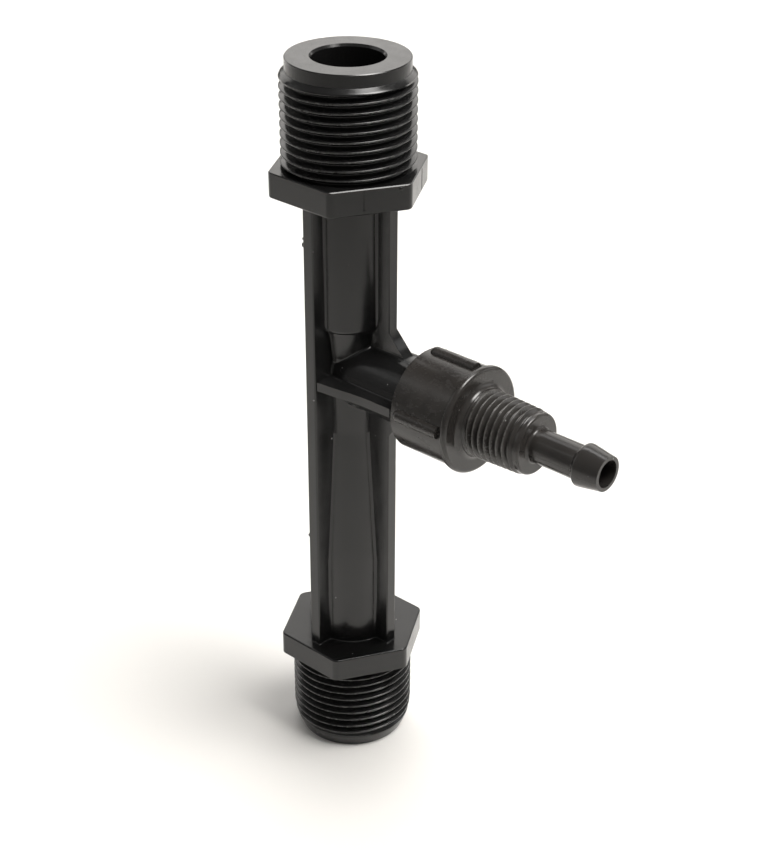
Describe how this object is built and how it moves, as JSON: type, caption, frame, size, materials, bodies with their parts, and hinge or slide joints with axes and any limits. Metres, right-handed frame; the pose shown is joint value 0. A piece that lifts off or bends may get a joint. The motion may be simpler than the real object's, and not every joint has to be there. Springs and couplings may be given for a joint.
{
  "type": "venturi fertilizer injector",
  "caption": "Black plastic venturi injector with male pipe threads on both ends and a suction arm that ends in a check-valve cap with a hose barb.",
  "frame": {"origin": "centre of the outlet end face, on the injector's axis", "axes": "+Z along the injector from the outlet end to the inlet end, +X along the suction arm towards the hose barb"},
  "size_m": [0.0802, 0.0278, 0.1524],
  "materials": {
    "body_plastic": "satin black moulded polypropylene",
    "cap_plastic": "charcoal moulded plastic with fine scuffs",
    "seal_rubber": "black rubber",
    "ball_steel": "polished stainless steel",
    "spring_steel": "drawn stainless wire"
  },
  "bodies": {
    "injector": {"injector_body": "body_plastic", "check_spring": "spring_steel"},
    "washer": {"cap_seal": "seal_rubber"},
    "cap": {"suction_cap": "cap_plastic"},
    "ball": {"check_ball": "ball_steel"}
  },
  "joints": [
    {"name": "cap_travel", "type": "slide", "parent": "injector", "child": "washer", "axis": [1, 0, 0], "range_m": [0, 0.01]},
    {"name": "cap_turn", "type": "hinge", "parent": "washer", "child": "cap", "pos_m": [0.03, 0, 0.0886], "axis": [1, 0, 0], "range_deg": [0, 1800]},
    {"name": "ball_lift", "type": "slide", "parent": "injector", "child": "ball", "axis": [1, 0, 0], "range_m": [-0.003, 0], "stiffness_N_per_m": 40, "springref_m": 0.002, "deforming": ["check_spring"]}
  ],
  "couplings": [
    {"joint": "cap_turn", "follows": "cap_travel", "rad_per_m": 3141.6}
  ]
}
